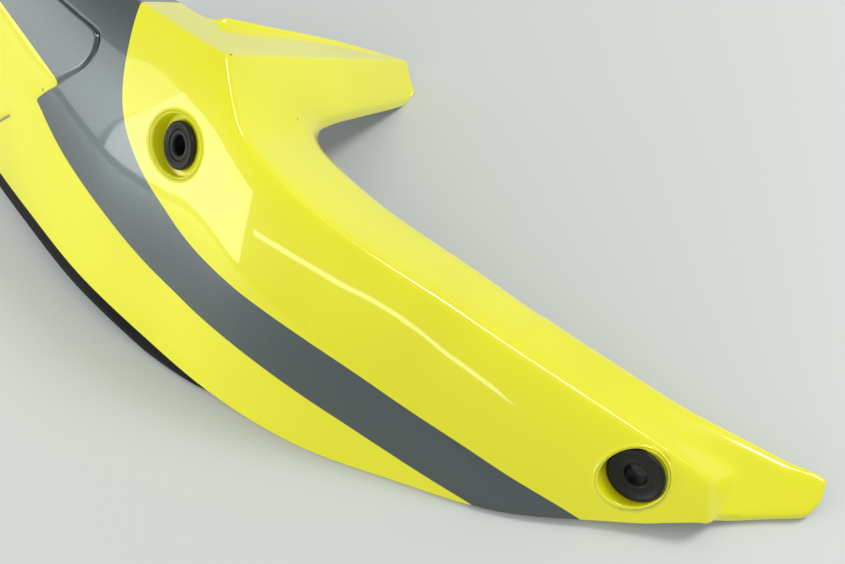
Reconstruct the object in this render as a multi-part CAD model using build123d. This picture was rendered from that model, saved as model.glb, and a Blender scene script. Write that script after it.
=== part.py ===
"""Motorcycle tail fairing: one moulded side panel with its two rubber mounting grommets.

The panel lies on its open side, as it comes to rest on a table. X runs along the panel from its
rear end to its pointed front tip, Y runs from the outer lower edge to the seat side, Z is up.
The origin is under the middle of the bounding box.
"""

import os
from math import sqrt

from build123d import *

os.makedirs("parts", exist_ok=True)

# Moulding
WALL = 2.8
RETURN_DEPTH = 12.0
TIP_RETURN = 5.0
EDGE_SLOPE = 0.53
FOOT_GAP = 0.3

# Cutting blocks: depth, plan margin and the ranges that their surfaces cover
BLOCK_DEPTH = 260.0
PLAN_MARGIN = 14.0
PANEL_X = (-260.0, 170.0)
ARM_X = (-100.0, 165.0)
TIP_X = (30.0, 185.0)
FRONT_X = (120.0, 170.0)
PANEL_Y = (-95.0, 120.0)
TIP_Y = (-70.0, 30.0)
SKIN_BELOW_SHARE = 0.35
SKIN_ABOVE_SHARE = 0.8
NORMAL_STEP = 0.5

# Side skin: x, lower edge y and z, crest y and z, crown between them
SKIN = [
    (-235.0, -37.0, 4.0, 3.0, 92.0, 14.0),
    (-190.0, -55.0, 11.0, -3.0, 96.0, 15.0),
    (-150.0, -68.5, 13.0, -7.5, 99.5, 15.0),
    (-110.0, -79.8, 11.5, -11.0, 103.0, 15.0),
    (-75.0, -85.0, 7.0, -16.0, 106.5, 15.0),
    (-40.0, -88.6, 3.8, -31.5, 94.5, 13.0),
    (0.0, -87.0, 1.4, -36.0, 79.5, 10.0),
    (40.0, -78.0, 1.3, -34.0, 60.0, 7.5),
    (80.0, -66.5, 2.5, -28.5, 43.5, 5.0),
    (115.0, -49.0, 3.5, -25.0, 31.0, 3.0),
    (145.0, -38.0, 1.0, -22.0, 21.5, 2.0),
]

# Ledge behind the crest: x, seat edge y, height and fall of the ledge, height and fall of its foot
LEDGE = [
    (-50.0, 2.5, 55.5, 0.99, 55.0, 0.90),
    (-16.0, -4.5, 51.0, 0.88, 50.4, 0.80),
    (27.0, -4.3, 42.0, 0.76, 41.4, 0.70),
    (63.0, -3.0, 31.8, 0.66, 32.7, 0.54),
    (90.0, -1.6, 23.6, 0.62, 26.7, 0.42),
    (115.0, -0.4, 13.9, 0.70, 21.7, 0.17),
    (142.0, 3.7, 1.6, 0.80, 15.7, -0.26),
    (172.0, 7.0, -8.0, 0.80, 11.7, -0.48),
]

# Top flange and arm, which meet the skin at the crest corner
CREST_CORNER = (-70.5, -17.0, 107.0)
FLANGE_FALL = 0.92
FLANGE_TILT = 0.026
ARM_FALL = 1.70
SCOOP_BLEND = 6.0

# Sloped front wall of the raised skin: a point on its upper edge, its fall along x and rise along y
FRONT_EDGE = (138.7, -24.6, 21.9)
FRONT_FALL = 1.97
FRONT_RISE = 0.21

# Plan outline
REAR_X = SKIN[0][0]
LOWER_LINE = [row[:2] for row in SKIN[:9]] + [(112.0, -49.8), (140.5, -33.0)]
FRONT_END = [LOWER_LINE[-1], (145.5, -28.0), (147.0, -23.0), (145.5, -18.0), (141.0, -12.0)]
ARM_CORNER = (-70.0, 91.5)
NOTCH = [(-60.0, 82.0), (-57.6, 40.0), (-56.4, 20.0), (-55.2, 9.5), (-52.5, 4.8), (-46.0, 0.8), (-33.0, -2.4)]
SEAT_LINE = [row[:2] for row in LEDGE]
SEAT_SIDE = NOTCH + SEAT_LINE[1:6]
FLANGE_EDGE = [(REAR_X, 22.0), (-160.0, 14.5), (-120.0, 9.5), (-104.0, 8.5), (-97.0, 15.6), (-85.0, 62.0)]
TIP_FOOT = [(40.0, -31.5), (90.0, -25.5), (115.0, -23.0), (130.0, -22.5), (136.0, -28.0), (144.5, -26.6)]
TIP_END = [(172.0, -7.4), (174.0, -2.0), (171.5, 6.8)]
TIP_JOIN_X = 138.0

# Raised pad on the rear of the skin
PAD_RISE = 2.5
PAD = [
    (-205.0, -22.0), (-143.5, -24.4), (-128.0, -25.7), (-123.6, -29.5), (-126.0, -35.5),
    (-135.3, -41.8), (-145.7, -47.4), (-167.0, -49.0), (-205.0, -40.0),
]

# Thin lip that carries on past the rear lower edge, stepped in from the skin
LIP_OVERHANG = 0.4
LIP_ROOT = 3.5
LIP_STEP = 1.8
LIP_THICKNESS = 1.6
LIP_ROWS = 6

# Grommet seats: place on the skin, bolt axis, disc, bore and recess radius, recess depth
REAR_SEAT = ((-76.3, -43.5, 81.0), (-0.32, -0.75, 0.57), 8.8, 3.5, 11.2, 3.2)
FRONT_SEAT = ((114.2, -37.5, 20.1), (0.01, -0.89, 0.45), 10.9, 4.25, 11.3, 4.6)
DISC_THICKNESS = 2.4
NECK_SHARE = 0.68
INNER_DISC_SHARE = 0.86
DISC_BEVEL = 1.2
BORE_BEVEL = 1.6
DISC_RIM_SHARE = 0.7
DISH_RIM_SHARE = 0.75
BORE_RIM_SHARE = 0.55
FIT_GAP = 0.1


def smooth(table, x):
    """Values at x on a smooth line through the rows of a table, whose first column is x."""
    last = len(table) - 1
    i = max(0, min(last - 1, sum(1 for row in table if row[0] <= x) - 1))

    def slope(k, column):
        before, after = table[max(0, k - 1)], table[min(last, k + 1)]
        return (after[column] - before[column]) / (after[0] - before[0])

    span = table[i + 1][0] - table[i][0]
    t = (x - table[i][0]) / span
    values = []
    for column in range(1, len(table[0])):
        start, end = table[i][column], table[i + 1][column]
        leaving, arriving = slope(i, column) * span, slope(i + 1, column) * span
        if t < 0:
            values.append(start + leaving * t)
        elif t > 1:
            values.append(end + arriving * (t - 1))
        else:
            rise = t * t * (3 - 2 * t)
            bend = t * (1 - t) * (leaving * (1 - t) - arriving * t)
            values.append(start + (end - start) * rise + bend)
    return values


def skin_height(x, y):
    """Height of the side skin over a plan point."""
    low_y, low_z, top_y, top_z, crown = smooth(SKIN, x)
    u = (y - low_y) / (top_y - low_y)
    return low_z + (top_z - low_z) * u + 4 * crown * u * (1 - u)


def ledge_height(x, y):
    """Height of the ledge and the arm's face, blended into one scoop."""
    seat_y, seat_z, fall, _, _ = smooth(LEDGE, x)
    ledge = seat_z + fall * (seat_y - y)
    corner_x, corner_y, corner_z = CREST_CORNER
    arm = corner_z - FLANGE_FALL * (y - corner_y) - ARM_FALL * (x - corner_x)
    return (ledge + arm + sqrt((ledge - arm) ** 2 + SCOOP_BLEND**2)) / 2


def flange_height(x, y):
    """Height of the flat top flange."""
    corner_x, corner_y, corner_z = CREST_CORNER
    return corner_z - FLANGE_FALL * (y - corner_y) - FLANGE_TILT * (x - corner_x)


def front_height(x, y):
    """Height of the wall at the front end of the raised skin."""
    edge_x, edge_y, edge_z = FRONT_EDGE
    return edge_z - FRONT_FALL * (x - edge_x) + FRONT_RISE * (y - edge_y)


def tip_height(x, y):
    """Height of the low front tip and of the ledge's foot that leads to it."""
    seat_y, _, _, seat_z, fall = smooth(LEDGE, x)
    return seat_z + fall * (seat_y - y)


def set_back(height, depth):
    """The same surface moved inward by depth along its normal."""
    step = NORMAL_STEP

    def inner(x, y):
        along = (height(x + step, y) - height(x - step, y)) / (2 * step)
        across = (height(x, y + step) - height(x, y - step)) / (2 * step)
        return height(x, y) - depth * sqrt(1 + along**2 + across**2)

    return inner


def spread(start, end, count):
    """Evenly spaced values from start to end."""
    return [start + (end - start) * i / (count - 1) for i in range(count)]


def surface(height, stations, y_range, count):
    """Smooth face through a height surface, over x stations and the y range at each."""
    rows = [[(x, y, height(x, y)) for y in spread(*y_range(x), count)] for x in stations]
    return Face.make_surface_from_array_of_points(rows)


def over(height, stations, y_range, count):
    """Solid above a height surface."""
    return extrude(surface(height, stations, y_range, count), amount=BLOCK_DEPTH, dir=(0, 0, 1))


def skin_range(x):
    """Y range that the skin's surface needs at x."""
    low_y, _, top_y, _, _ = smooth(SKIN, x)
    width = top_y - low_y
    return low_y - SKIN_BELOW_SHARE * width, top_y + SKIN_ABOVE_SHARE * width


def over_skin(depth):
    """Solid above the side skin, moved inward by depth."""
    return over(set_back(skin_height, depth), spread(*PANEL_X, 29), skin_range, 9)


def over_flange(depth):
    """Solid above the top flange, moved inward by depth."""
    return over(set_back(flange_height, depth), spread(*PANEL_X, 4), lambda x: PANEL_Y, 4)


def over_ledge(depth):
    """Solid above the ledge and the arm's face, moved inward by depth."""
    return over(set_back(ledge_height, depth), spread(*ARM_X, 40), lambda x: PANEL_Y, 28)


def over_front(depth):
    """Solid above the front wall, moved inward by depth."""
    return over(set_back(front_height, depth), spread(*FRONT_X, 4), lambda x: TIP_Y, 4)


def over_tip(depth):
    """Solid above the tip, moved inward by depth."""
    return over(set_back(tip_height, depth), spread(*TIP_X, 16), lambda x: TIP_Y, 5)


def main_form(block, depth=0.0, drop=0.0):
    """A block cut to the skin, flange, ledge and front wall, moved inward by depth and down by drop."""
    for cutter in (over_skin(depth), over_flange(depth), over_ledge(depth), over_front(depth)):
        block -= cutter.moved(Location((0, 0, -drop)))
    return block


def tip_form(block, depth=0.0, drop=0.0):
    """A block cut to the tip surface, moved inward by depth and down by drop."""
    return block - over_tip(depth).moved(Location((0, 0, -drop)))


def shifted(points, dx, dy):
    """Plan points moved by dx and dy."""
    return [(x + dx, y + dy) for x, y in points]


def inset(points, distance):
    """Plan points moved to the right of their direction of travel by distance."""
    moved = []
    for i, (x, y) in enumerate(points):
        ax, ay = points[max(0, i - 1)]
        bx, by = points[min(len(points) - 1, i + 1)]
        length = sqrt((bx - ax) ** 2 + (by - ay) ** 2)
        moved.append((x + distance * (by - ay) / length, y - distance * (bx - ax) / length))
    return moved


def loop(*runs):
    """Upright block over a closed plan outline of smooth runs joined by straight lines."""
    edges = []
    for run, following in zip(runs, runs[1:] + runs[:1]):
        points = [Vector(x, y, 0) for x, y in run]
        if len(points) > 2:
            edges.append(Spline(*points))
        elif len(points) == 2:
            edges.append(Line(*points))
        if following[0] != run[-1]:
            edges.append(Line(points[-1], Vector(*following[0], 0)))
    return extrude(Face(Wire(edges)), amount=BLOCK_DEPTH / 2, both=True)


def plan_box(x_range, y_range):
    """Upright block over a plan rectangle."""
    (x0, x1), (y0, y1) = x_range, y_range
    return loop([(x0, y0), (x1, y0)], [(x1, y1), (x0, y1)])


def main_outline():
    """Panel, flange and arm up to the front end of the raised skin."""
    return loop(LOWER_LINE, FRONT_END, SEAT_SIDE[::-1], [ARM_CORNER], FLANGE_EDGE[::-1])


def main_hollow():
    """Space behind the panel, open at the rear, the lower edge, the flange and the arm's end."""
    m = PLAN_MARGIN
    lower = [(REAR_X - m, LOWER_LINE[0][1] - m)] + shifted(LOWER_LINE[:-1], 0, -m)
    lower.append((LOWER_LINE[-1][0] - WALL, LOWER_LINE[-1][1] - m))
    front = shifted(FRONT_END[1:], -WALL, 0)
    seat = inset(SEAT_SIDE, WALL)[::-1]
    arm_x, arm_y = ARM_CORNER
    arm = [(NOTCH[0][0] - WALL, NOTCH[0][1] + m), (arm_x - m, arm_y + m)]
    flange = [(FLANGE_EDGE[-1][0] - m, FLANGE_EDGE[-1][1]), (FLANGE_EDGE[2][0], FLANGE_EDGE[0][1] + m / 2)]
    return loop(lower, front, seat, arm, flange, [(REAR_X - m, FLANGE_EDGE[0][1] + m)])


def tip_outline(wall=0.0, margin=0.0):
    """Tip and ledge foot, with the seat side and end moved in by wall and the foot out by margin."""
    foot = TIP_FOOT[:-1] + shifted(TIP_FOOT[-1:], 0, -margin)
    end = shifted(TIP_END[:-1], -wall, -margin) + shifted(TIP_END[-1:], -wall, -wall)
    seat = [(TIP_FOOT[0][0], SEAT_LINE[2][1])] + SEAT_LINE[3:-1]
    return loop(foot, end, inset(shifted(seat, 0, -FOOT_GAP), wall)[::-1])


def edge_trim():
    """Solid under the square cut across the wall at the lower edge."""

    def cut(x, y):
        edge_y = smooth(LOWER_LINE, x)[0]
        return skin_height(x, edge_y) - EDGE_SLOPE * (y - edge_y)

    def strip(x):
        edge_y = smooth(LOWER_LINE, x)[0]
        return edge_y - PLAN_MARGIN, edge_y + PLAN_MARGIN / 2

    return extrude(surface(cut, spread(*PANEL_X, 30), strip, 4), amount=BLOCK_DEPTH, dir=(0, 0, -1))


def lip():
    """Thin lip below the rear lower edge, stepped in from the skin and rooted behind the wall."""
    line = LOWER_LINE[:LIP_ROWS]
    sheet = loop(shifted(line, 0, -LIP_OVERHANG), shifted(line, 0, LIP_ROOT)[::-1])
    sheet -= over_skin(LIP_STEP)
    return sheet & over_skin(LIP_STEP + LIP_THICKNESS)


def pad():
    """Raised pad on the rear of the skin."""
    return loop(PAD) - over_skin(-PAD_RISE)


def seat_plane(seat, depth=0.0):
    """Plane across a bolt axis, sunk by depth below the skin."""
    place, axis, *_ = seat
    outward = Vector(*axis).normalized()
    return Plane(origin=Vector(*place) - outward * depth, z_dir=outward)


def recess(seat, wall=0.0):
    """Round recess of a grommet seat, or with a wall the cup around it."""
    radius, depth = seat[4], seat[5]
    reach = 4 * radius
    return seat_plane(seat, depth + wall) * Pos(0, 0, reach / 2) * Cylinder(radius + wall, reach)


def neck_hole(seat):
    """Hole through the recess floor for the grommet's neck."""
    return seat_plane(seat, seat[5]) * Cylinder(seat[2] * NECK_SHARE + FIT_GAP, 4 * WALL)


def inner_disc_space(seat):
    """Clear space behind the recess floor for the grommet's inner disc."""
    radius = seat[2] * INNER_DISC_SHARE + FIT_GAP
    depth = DISC_THICKNESS + 3 * FIT_GAP
    return seat_plane(seat, seat[5] + WALL) * Pos(0, 0, -depth / 2) * Cylinder(radius, depth)


def grommet(seat):
    """Rubber grommet with a dished disc, a neck through the recess floor and an inner disc."""
    disc, bore = seat[2], seat[3]
    neck, inner = disc * NECK_SHARE, disc * INNER_DISC_SHARE
    under = -WALL - FIT_GAP
    foot = under - DISC_THICKNESS
    profile = [
        (bore, foot), (inner, foot), (inner, under), (neck, under), (neck, FIT_GAP), (disc, FIT_GAP),
        (disc, DISC_THICKNESS * DISC_RIM_SHARE), (disc - DISC_BEVEL, DISC_THICKNESS),
        (bore + BORE_BEVEL, DISC_THICKNESS * DISH_RIM_SHARE), (bore, DISC_THICKNESS * BORE_RIM_SHARE),
    ]
    ring = make_face(Plane.XZ * Polyline(*profile, close=True))
    return seat_plane(seat, seat[5]) * revolve(ring, Axis.Z)


def shell():
    """The moulded panel in one piece."""
    solid = main_form(main_outline()) + tip_form(tip_outline()) + pad()
    hollow = main_form(main_hollow(), depth=WALL) + tip_form(tip_outline(WALL, PLAN_MARGIN), depth=WALL)
    for seat in (REAR_SEAT, FRONT_SEAT):
        solid -= recess(seat)
        hollow -= recess(seat, WALL)
    panel = solid - hollow
    panel -= main_form(plan_box((PANEL_X[0], TIP_JOIN_X), PANEL_Y), drop=RETURN_DEPTH)
    panel -= tip_form(plan_box((TIP_JOIN_X, TIP_X[1]), TIP_Y), drop=TIP_RETURN)
    panel -= edge_trim()
    panel += lip()
    for seat in (REAR_SEAT, FRONT_SEAT):
        panel -= neck_hole(seat)
        panel -= inner_disc_space(seat)
    below_floor = Pos(0, 0, -BLOCK_DEPTH / 2) * Box(3 * BLOCK_DEPTH, BLOCK_DEPTH, BLOCK_DEPTH)
    return panel - below_floor


pieces = {
    "shell": shell(),
    "rear_grommet": grommet(REAR_SEAT),
    "front_grommet": grommet(FRONT_SEAT),
}
bounds = pieces["shell"].bounding_box()
to_origin = Location((-bounds.center().X, -bounds.center().Y, -bounds.min.Z))
for name, piece in pieces.items():
    export_step(piece.moved(to_origin), f"parts/{name}.step")
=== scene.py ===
"""Motorcycle tail fairing: painted panel with a folded arm and a low front tip, a black lip along
the rear lower edge and two rubber grommets in sunk seats.

Shapes are worked out in millimetres on the panel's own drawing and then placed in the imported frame.
"""

from math import cos, pi, radians, sin

import bpy
import numpy as np
from bpy.props import FloatProperty, FloatVectorProperty, PointerProperty
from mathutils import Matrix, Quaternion, Vector, geometry


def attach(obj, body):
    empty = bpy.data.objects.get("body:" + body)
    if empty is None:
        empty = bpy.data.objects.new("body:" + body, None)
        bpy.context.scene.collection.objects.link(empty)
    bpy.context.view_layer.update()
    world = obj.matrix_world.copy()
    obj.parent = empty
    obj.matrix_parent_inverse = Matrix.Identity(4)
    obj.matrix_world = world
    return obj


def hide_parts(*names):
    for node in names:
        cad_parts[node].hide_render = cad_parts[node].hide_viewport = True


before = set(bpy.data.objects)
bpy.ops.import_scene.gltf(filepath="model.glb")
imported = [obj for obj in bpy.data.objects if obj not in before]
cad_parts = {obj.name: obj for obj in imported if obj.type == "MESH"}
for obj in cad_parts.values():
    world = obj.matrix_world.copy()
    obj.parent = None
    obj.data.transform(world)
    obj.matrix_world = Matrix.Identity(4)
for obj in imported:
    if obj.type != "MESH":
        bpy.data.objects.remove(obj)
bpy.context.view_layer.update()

bl_info = {
    "name": "Motorcycle tail fairing",
    "version": (1, 0, 0),
    "blender": (4, 5, 0),
    "location": "View3D > Sidebar > Fairing",
    "description": "Builds a painted tail fairing panel with its lip and grommets",
    "category": "Add Mesh",
}

MM = 0.001
DRAWING_ORIGIN = np.array([-30.465, 1.401, 0.0])

# Side skin: x, lower edge y and z, crest y and z, crown between them
SKIN = np.array([
    (-235.0, -37.0, 4.0, 3.0, 92.0, 14.0),
    (-190.0, -55.0, 11.0, -3.0, 96.0, 15.0),
    (-150.0, -68.5, 13.0, -7.5, 99.5, 15.0),
    (-110.0, -79.8, 11.5, -11.0, 103.0, 15.0),
    (-75.0, -85.0, 7.0, -16.0, 106.5, 15.0),
    (-40.0, -88.6, 3.8, -31.5, 94.5, 13.0),
    (0.0, -87.0, 1.4, -36.0, 79.5, 10.0),
    (40.0, -78.0, 1.3, -34.0, 60.0, 7.5),
    (80.0, -66.5, 2.5, -28.5, 43.5, 5.0),
    (115.0, -49.0, 3.5, -25.0, 31.0, 3.0),
    (145.0, -38.0, 1.0, -22.0, 21.5, 2.0),
])
SKIN_END_SHARE = 1.5
SKIN_END_SLOPE = 200.0

# Ledge behind the crest: x, seat edge y, height and fall of the ledge, height and fall of its foot
LEDGE = np.array([
    (-50.0, 2.5, 55.5, 0.99, 55.0, 0.90),
    (-16.0, -4.5, 51.0, 0.88, 50.4, 0.80),
    (27.0, -4.3, 42.0, 0.76, 41.4, 0.70),
    (63.0, -3.0, 31.8, 0.66, 32.7, 0.54),
    (90.0, -1.6, 23.6, 0.62, 26.7, 0.42),
    (115.0, -0.4, 13.9, 0.70, 21.7, 0.17),
    (142.0, 3.7, 1.6, 0.80, 15.7, -0.26),
    (172.0, 7.0, -8.0, 0.80, 11.7, -0.48),
])

# Flange and arm, which meet the skin at the crest corner
CREST_CORNER = (-70.5, -17.0, 107.0)
FLANGE_FALL = 0.92
FLANGE_TILT = 0.026
ARM_FALL = 1.70

# Widths of the blends between the surfaces
SCOOP_BLEND = 6.0
CREST_BLEND = 2.8
FOLD_BLEND = 0.9
FOOT_BLEND = 1.6
GROUND_BLEND = 1.5

# The arm is kept above the ground from this y on
GROUND_HEIGHT = 0.7
GROUND_FROM_Y = 60.0

# Foot of the low tip under the crest
FOOT_LINE = np.array([
    (40.0, -31.5), (90.0, -25.5), (115.0, -23.0), (130.0, -22.5), (150.0, -22.5),
])
FOOT_MARGIN = 3.0
FOOT_HOLD = 3.0
FOOT_FADE = (130.0, 139.0)
FOOT_FROM = 58.0

# Sloped front wall of the raised skin: a point on its upper edge, its fall along x and rise along y
FRONT_EDGE = (138.7, -24.6, 21.9)
FRONT_FALL = 1.97
FRONT_RISE = 0.21
FRONT_BLEND = 5.0
NOSE_BLEND = 3.2
NOSE_X = (134.0, 151.0)
NOSE_Y = (-34.0, -8.0)

# Raised pad on the rear of the skin, with a tight seam round its front and a soft fold under it
PAD = [
    (-250.0, 10.0), (-205.0, -12.0), (-150.3, -20.0), (-139.0, -22.4), (-130.5, -24.0),
    (-126.1, -25.5), (-124.9, -28.6), (-125.8, -32.1), (-127.6, -34.4), (-133.4, -37.7),
    (-138.4, -40.0), (-150.0, -44.4), (-175.0, -43.6), (-205.0, -36.0), (-250.0, -26.0),
]
PAD_RISE = 1.7
PAD_FROM_X = (-100.0, -115.0)
PAD_EDGE = 0.6
PAD_SOFT_X = (-139.0, -150.0)
PAD_SOFT_Y = (-36.0, -41.0)
PAD_SOFT_OUT = 3.0
PAD_SOFT_IN = 3.5

# Seam round the pad: faint all along, full on its front, and where it ends; its gap from the edge
SEAM_DEPTH = 0.25
SEAM_FAINT = 0.25
SEAM_FULL_X = (-156.0, -140.0)
SEAM_FULL_Y = (-37.5, -31.0)
SEAM_END_X = (-158.0, -145.0)
SEAM_GAP = 0.7
SEAM_WIDTH = 0.32
# Share of the painted shade that shows in the seam's groove
SEAM_PAINTED_SHADE = 0.55

# Slot below the pad, and the narrower width over which shade is painted in it
SLOT = [(-180.0, -51.4), (-174.1, -50.3), (-167.1, -49.3)]
SLOT_DEPTH = 1.6
SLOT_WIDTH = 0.4
SLOT_SHADE_WIDTH = 0.3

# Panel outline: x, y, roll radius, return depth, upward curl of the edge, run by run
LOWER_RUN = [(x, y, 0, 0, 0) for x, y in SKIN[:9, :2]] + [
    (112.0, -49.8, 0, 0, 0), (128.0, -41.2, 0, 0, 0), (140.5, -33.0, 0, 1.5, 0),
]
NOSE_RUN = [(142.3, -31.4, 0, 2, 0), (143.5, -29.4, 0, 2, 0), (144.4, -27.3, 0, 2, 0)]
TIP_RUN = [(146.4, -25.6, 0.8, 2, 0), (160.0, -15.9, 1.2, 2, 0), (170.6, -8.5, 1.2, 2, 0)]
END_RUN = [(172.2, -6.6, 1.2, 2, 0), (173.6, -2.0, 1.2, 2, 0), (172.0, 5.4, 1.2, 2, 0)]
SEAT_RUN = [
    (170.6, 6.8, 2.5, 2, 0), (157.0, 5.4, 6, 2.5, 0), (142.0, 3.7, 6, 3, 0), (115.0, -0.4, 6, 5, 0),
    (90.0, -1.6, 6, 6, 0), (63.0, -3.0, 6, 6, 0), (27.0, -4.3, 6, 6, 0), (-16.0, -4.5, 6, 6, 0),
    (-33.0, -2.4, 6, 6, 0), (-46.0, 0.8, 6, 6, 0), (-52.5, 4.8, 6, 5, 0), (-55.2, 9.5, 5, 4, 0),
    (-56.4, 20.0, 3.4, 3, 0), (-57.6, 40.0, 2.4, 3, 0), (-59.4, 74.0, 2.2, 2, 0),
    (-59.9, 80.5, 2.0, 0, 0),
]
ARM_RUN = [(-60.2, 82.2, 0, 0, 0), (-70.0, 91.3, 0, 0, 0)]
FLANGE_RUN = [
    (-70.6, 90.5, 0, 0, 0), (-85.0, 62.0, 0, 0, 2.0), (-95.5, 22.0, 0, 0, 3.6),
    (-98.5, 13.4, 0, 0, 3.8), (-101.0, 9.8, 0, 0, 0.8), (-104.5, 8.4, 0, 0, 0),
    (-120.0, 9.5, 0, 0, 0), (-160.0, 14.5, 0, 0, 0), (-235.0, 22.0, 0, 0, 0),
]
OUTLINE_RUNS = [LOWER_RUN, NOSE_RUN, TIP_RUN, END_RUN, SEAT_RUN, ARM_RUN, FLANGE_RUN]
CURL_WIDTH = 3.6
CURL_POWER = 1.6
EDGE_BULGE = 0.6
LEAST_RETURN = 0.25
LEAST_ROLL = 0.3
FULL_ROLL = 1.2

# Grey band on the side, as a closed plan outline
BAND = [
    (112.0, -52.6), (99.8, -54.9), (81.3, -58.2), (54.8, -61.0), (24.1, -64.0), (-6.1, -66.3),
    (-21.2, -66.7), (-37.0, -66.2), (-51.8, -64.1), (-64.2, -61.0), (-74.4, -57.5), (-85.0, -53.5),
    (-93.6, -49.0), (-100.1, -44.3), (-104.6, -39.2), (-108.0, -32.8), (-110.9, -24.4),
    (-114.8, -10.9), (-117.0, 2.0), (-119.0, 24.0),
]
BAND_REAR = [(-240.0, 40.0), (-240.0, -4.5), (-179.1, -26.2), (-138.2, -40.5)]
BAND_LOWER = [
    (-149.4, -45.4), (-131.1, -54.6), (-117.2, -59.9), (-105.0, -63.8), (-90.7, -67.7),
    (-78.4, -70.4), (-64.4, -72.9), (-47.4, -75.7), (-29.7, -77.1), (-13.4, -77.4), (2.3, -76.9),
    (19.2, -75.5), (35.6, -73.9), (52.2, -72.3), (69.0, -70.5), (72.0, -75.0), (114.0, -62.0),
]

# Grommet seats: place on the skin, bolt axis, disc, bore and recess radius, recess depth
SEATS = {
    "rear_grommet": ((-76.3, -43.5, 81.0), (-0.32, -0.75, 0.57), 8.8, 3.5, 11.2, 3.2),
    "front_grommet": ((114.2, -37.5, 20.1), (0.01, -0.89, 0.45), 10.9, 4.25, 11.3, 4.6),
}
DISC_THICKNESS = 2.4
NECK_SHARE = 0.68
INNER_DISC_SHARE = 0.86
FIT_GAP = 0.1
SEAT_SEGMENTS = 72
RIM_ROUNDING = 0.9
RIM_DROP = 1.2
RIM_ANGLES = (18, 36, 54, 72, 90)
RIM_REACH = 14.0
CUP_WALL = 2.0
CUP_LEAST_ROOM = 0.12
CUP_FULL_ROOM = 2.2
CUP_MIDDLE = 0.45
CUP_CORNER = ((0.0, 0.6), (0.2, 0.18), (0.7, 0.0))
CUP_BEVEL = 0.6
PAINTED_CUP_ROWS = 10

# Section of a grommet from its inner disc round to its bore: a radius and what is added to it, and
# a level on the bolt axis and what is added to it
GROMMET_SECTION = [
    ("bore", 0.35, "foot", 0.0), ("inner", -0.5, "foot", 0.0), ("inner", -0.12, "foot", 0.14),
    ("inner", 0.0, "foot", 0.5), ("inner", 0.0, "under", -0.4), ("inner", -0.15, "under", -0.1),
    ("inner", -0.5, "under", 0.0), ("neck", 0.0, "under", 0.0), ("neck", 0.0, "floor", 0.0),
    ("disc", -0.45, "floor", 0.0), ("disc", -0.12, "floor", 0.12), ("disc", 0.0, "floor", 0.4),
    ("disc", 0.0, "top", -0.95), ("disc", -0.14, "top", -0.5), ("disc", -0.5, "top", -0.16),
    ("disc", -1.0, "top", 0.0), ("disc", -1.5, "top", -0.1), ("disc", -2.0, "top", -0.38),
    ("disc", -2.6, "top", -0.62), ("disc", -3.6, "top", -0.8), ("bore", 2.3, "top", -0.84),
    ("bore", 1.75, "top", -0.74), ("bore", 1.3, "top", -0.6), ("bore", 0.8, "top", -0.66),
    ("bore", 0.4, "top", -0.9), ("bore", 0.1, "top", -1.25), ("bore", 0.0, "top", -1.7),
    ("bore", 0.0, "foot", 0.35), ("bore", 0.1, "foot", 0.1),
]

# Black lip below the rear lower edge
LIP_RANGE = (-234.6, -37.5)
LIP_TAPER = 34.0
LIP_STEP = 1.8
LIP_THICKNESS = 1.6
LIP_ROOT = 2.0
LIP_FLARE = 0.9
LIP_LEAST_TAPER = 0.004
LIP_GROUND = 0.7
LIP_GROUND_SHARE = 0.92
LIP_SHARES = (0.0, 0.35, 0.7)
LIP_ANGLES = (0, 30, 60, 90, 120, 150, 180)

# Steps along the drawing's lines
OUTLINE_STEP = 1.7
PAD_STEP = 1.6
BAND_STEP = 2.0
LIP_LINE_STEP = 2.0
SLOT_STEP = 0.8
FOLD_STEP = 1.6

# Where the folds start or end, and how far behind the crest they are looked for
FOLD_REAR_X = -234.0
CREST_END_X = 143.0
FOOT_FOLD_X = (66.0, 141.0)
ARM_FOLD_END_Y = 91.0
FOLD_SEARCH = 12.0
FOLD_SEARCH_FROM = 0.3

# Mesh points beside a line: offsets to its left, then least distance to the outline and to others
FOLD_POINTS = ((0, -0.5, 0.5, -1.1, 1.1, -1.9, 1.9, -3.0, 3.0), 0.6, 0.42)
FOOT_POINTS = ((0, -0.6, 0.6, -1.4, 1.4, -2.6, 2.6), 0.6, 0.5)
PAD_POINTS = ((0.7, 0.4, 1.0, 0.1, 1.3, -0.2, 1.7, -0.5, -0.8, -1.3, 2.4, -2.0), 0.8, 0.26)
SLOT_POINTS = ((0, 0.4, -0.4, 0.8, -0.8, 1.3, -1.3), 0.6, 0.25)

# Mesh points on the nose, round the seats and all over, with the same two distances. The last of
# the grid's is a share of its spacing
NOSE_STEP = 0.7
NOSE_LIMITS = (0.5, 0.3)
SEAT_RINGS = (1.5, 3.2, 5.2)
SEAT_LIMITS = (0.6, 0.6)
SEAT_CLEAR = 0.7
SHEET_X = (-236.0, 176.0)
SHEET_Y = (-92.0, 94.0)
ROW_PITCH = 0.87
GRID_LIMITS = (0.9, 0.62)
THINNING_CELL = 2.0

# Mesh points along the outline: by angle over a roll, by distance where the edge is plain
ROLL_ANGLES = (12, 24, 36, 48, 60, 75, 90)
NARROW_ANGLES = (24, 48, 90)
WIDE_ROLL = 3.0
EDGE_GAPS = (0.9, 1.8, 2.8, 3.8)
EDGE_CLEAR = 0.93

# Lowest points of the outside, of the inside and of the rim between them
LEAST_OUTSIDE = 0.2
LEAST_INSIDE = 0.1
LEAST_RIM = 0.05

# Steps that the panel's normals are taken over, and how far the edges' own normals reach
EXACT_STEP = 0.02
PLAIN_STEP = 0.3
LIP_NORMAL_STEP = 0.5
BROAD_STEP = 3.5
EDGE_REACH = 3.0

# The wall is thinner beside small rolls: which rolls, its thickness there and least thickness
THIN_ROLLS = (0.2, 3.4)
THIN_PER_ROLL = 0.75
THIN_PER_GAP = 0.6
THINNEST = 0.9

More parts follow.
